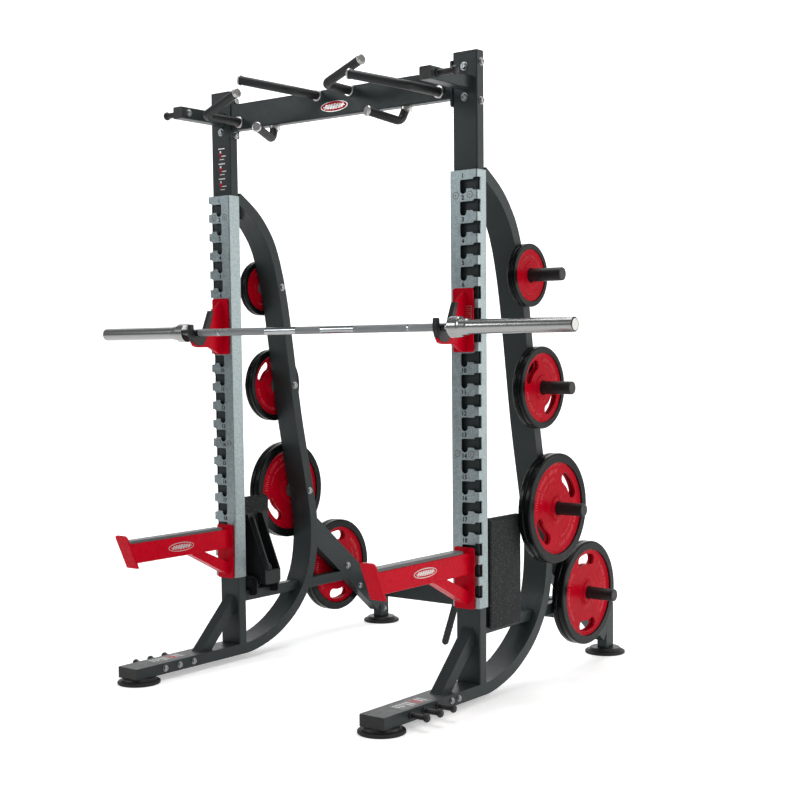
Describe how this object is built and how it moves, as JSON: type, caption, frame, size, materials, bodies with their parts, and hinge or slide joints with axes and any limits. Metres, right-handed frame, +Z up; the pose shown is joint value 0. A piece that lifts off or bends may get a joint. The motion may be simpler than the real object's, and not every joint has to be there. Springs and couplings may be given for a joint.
{
  "type": "power cage half rack",
  "caption": "Grey half rack with bowed sides, slotted galvanised rails, red hooks and safety arms, a barbell, stored red-faced plates and fold-down platforms.",
  "frame": {"origin": "on the floor below the middle of the box round the rack and its barbell", "axes": "+X to the right as the lifter faces the rack from the front (-Y) side, +Y towards the storage side at the back, +Z up"},
  "size_m": [2.2, 1.623, 2.2379],
  "materials": {
    "frame_grey": "satin powder coat, fine texture",
    "red_coat": "gloss powder coat",
    "galvanised": "bright zinc with a fine spangle",
    "bar_chrome": "polished",
    "satin_steel": "satin",
    "bolt_steel": "satin",
    "black_grip": "moulded, fine texture",
    "black_rubber": "matte",
    "black_plastic": "satin",
    "black_paint": "satin",
    "strip_grey": "satin",
    "mat_grip": "speckled grip texture",
    "disc_red": "gloss"
  },
  "bodies": {
    "frame": {"upright_right": "frame_grey", "upright_left": "frame_grey", "bow_foot_right": "frame_grey", "bow_foot_left": "frame_grey", "foot_braces": "frame_grey", "rear_leg_right": "frame_grey", "rear_leg_left": "frame_grey", "lower_struts": "frame_grey", "rear_cross_beam": "frame_grey", "top_cross_beam": "frame_grey", "top_horns": "frame_grey", "bow_gussets": "frame_grey", "pull_up_grips_upper": "black_grip", "pull_up_grips_lower": "black_grip", "grip_caps_collars": "satin_steel", "band_pegs": "black_plastic", "frame_bolts": "bolt_steel", "hook_rail_right": "galvanised", "hook_rail_left": "galvanised", "rail_screws": "bolt_steel", "foot_pad_discs": "black_plastic", "foot_pad_rubbers": "black_rubber", "tube_end_caps": "black_plastic", "peg_bars": "satin_steel", "peg_sleeves": "black_plastic", "peg_end_caps": "black_plastic", "platform_hinges": "black_paint"},
    "hook_right": {"j_hook_right": "red_coat", "hook_liner_right": "black_plastic"},
    "arm_right": {"safety_arm_right": "red_coat", "arm_strip_right": "strip_grey"},
    "sleeve_right": {"barbell_sleeve_right": "bar_chrome"},
    "platform_right": {"platform_frame_right": "black_paint", "platform_mat_right": "mat_grip"},
    "prop_leg_right": {"platform_leg_right": "black_paint"},
    "plates_right_1": {"plate_discs_right_1": "disc_red", "plate_rings_right_1": "black_rubber"},
    "plates_right_2": {"plate_discs_right_2": "disc_red", "plate_rings_right_2": "black_rubber"},
    "plates_right_3": {"plate_discs_right_3": "disc_red", "plate_rings_right_3": "black_rubber"},
    "plates_right_4": {"plate_discs_right_4": "disc_red", "plate_rings_right_4": "black_rubber"},
    "hook_left": {"j_hook_left": "red_coat", "hook_liner_left": "black_plastic"},
    "arm_left": {"safety_arm_left": "red_coat", "arm_strip_left": "strip_grey"},
    "sleeve_left": {"barbell_sleeve_left": "bar_chrome"},
    "platform_left": {"platform_frame_left": "black_paint", "platform_mat_left": "mat_grip"},
    "prop_leg_left": {"platform_leg_left": "black_paint"},
    "plates_left_1": {"plate_discs_left_1": "disc_red", "plate_rings_left_1": "black_rubber"},
    "plates_left_2": {"plate_discs_left_2": "disc_red", "plate_rings_left_2": "black_rubber"},
    "plates_left_3": {"plate_discs_left_3": "disc_red", "plate_rings_left_3": "black_rubber"},
    "plates_left_4": {"plate_discs_left_4": "disc_red", "plate_rings_left_4": "black_rubber"},
    "barbell": {"barbell_shaft": "bar_chrome"}
  },
  "joints": [
    {"name": "hook_right_lift", "type": "slide", "parent": "frame", "child": "hook_right", "axis": [0, 0, 1], "range_m": [0, 0.024]},
    {"name": "hook_left_lift", "type": "slide", "parent": "frame", "child": "hook_left", "axis": [0, 0, 1], "range_m": [0, 0.024]},
    {"name": "barbell_lift", "type": "slide", "parent": "hook_right", "child": "barbell", "axis": [0, 0, 1], "range_m": [0, 0.4]},
    {"name": "sleeve_right_spin", "type": "hinge", "parent": "barbell", "child": "sleeve_right", "pos_m": [0.87, -0.395, 1.306], "axis": [1, 0, 0], "continuous": true},
    {"name": "sleeve_left_spin", "type": "hinge", "parent": "barbell", "child": "sleeve_left", "pos_m": [-0.87, -0.395, 1.306], "axis": [1, 0, 0], "continuous": true},
    {"name": "arm_right_lift", "type": "slide", "parent": "frame", "child": "arm_right", "axis": [0, 0, 1], "range_m": [0, 0.024]},
    {"name": "arm_left_lift", "type": "slide", "parent": "frame", "child": "arm_left", "axis": [0, 0, 1], "range_m": [0, 0.024]},
    {"name": "plates_right_1_slide", "type": "slide", "parent": "frame", "child": "plates_right_1", "axis": [1, 0, 0], "range_m": [0, 0.2]},
    {"name": "plates_right_2_slide", "type": "slide", "parent": "frame", "child": "plates_right_2", "axis": [1, 0, 0], "range_m": [0, 0.2]},
    {"name": "plates_right_3_slide", "type": "slide", "parent": "frame", "child": "plates_right_3", "axis": [1, 0, 0], "range_m": [0, 0.2]},
    {"name": "plates_right_4_slide", "type": "slide", "parent": "frame", "child": "plates_right_4", "axis": [1, 0, 0], "range_m": [0, 0.2]},
    {"name": "plates_left_1_slide", "type": "slide", "parent": "frame", "child": "plates_left_1", "axis": [-1, 0, 0], "range_m": [0, 0.2]},
    {"name": "plates_left_2_slide", "type": "slide", "parent": "frame", "child": "plates_left_2", "axis": [-1, 0, 0], "range_m": [0, 0.2]},
    {"name": "plates_left_3_slide", "type": "slide", "parent": "frame", "child": "plates_left_3", "axis": [-1, 0, 0], "range_m": [0, 0.2]},
    {"name": "plates_left_4_slide", "type": "slide", "parent": "frame", "child": "plates_left_4", "axis": [-1, 0, 0], "range_m": [0, 0.2]},
    {"name": "platform_right_fold", "type": "hinge", "parent": "frame", "child": "platform_right", "pos_m": [0.55, -0.0865, 0.3], "axis": [0, -1, 0], "range_deg": [0, 90]},
    {"name": "platform_left_fold", "type": "hinge", "parent": "frame", "child": "platform_left", "pos_m": [-0.55, -0.0865, 0.3], "axis": [0, 1, 0], "range_deg": [0, 90]},
    {"name": "prop_leg_right_swing", "type": "hinge", "parent": "platform_right", "child": "prop_leg_right", "pos_m": [0.47, -0.1375, 0.368], "axis": [0, 1, 0], "range_deg": [0, 184.4]},
    {"name": "prop_leg_left_swing", "type": "hinge", "parent": "platform_left", "child": "prop_leg_left", "pos_m": [-0.47, -0.1375, 0.368], "axis": [0, 1, 0], "range_deg": [0, 184.4]}
  ],
  "couplings": [
    {"joint": "hook_left_lift", "follows": "hook_right_lift", "ratio": 1}
  ]
}
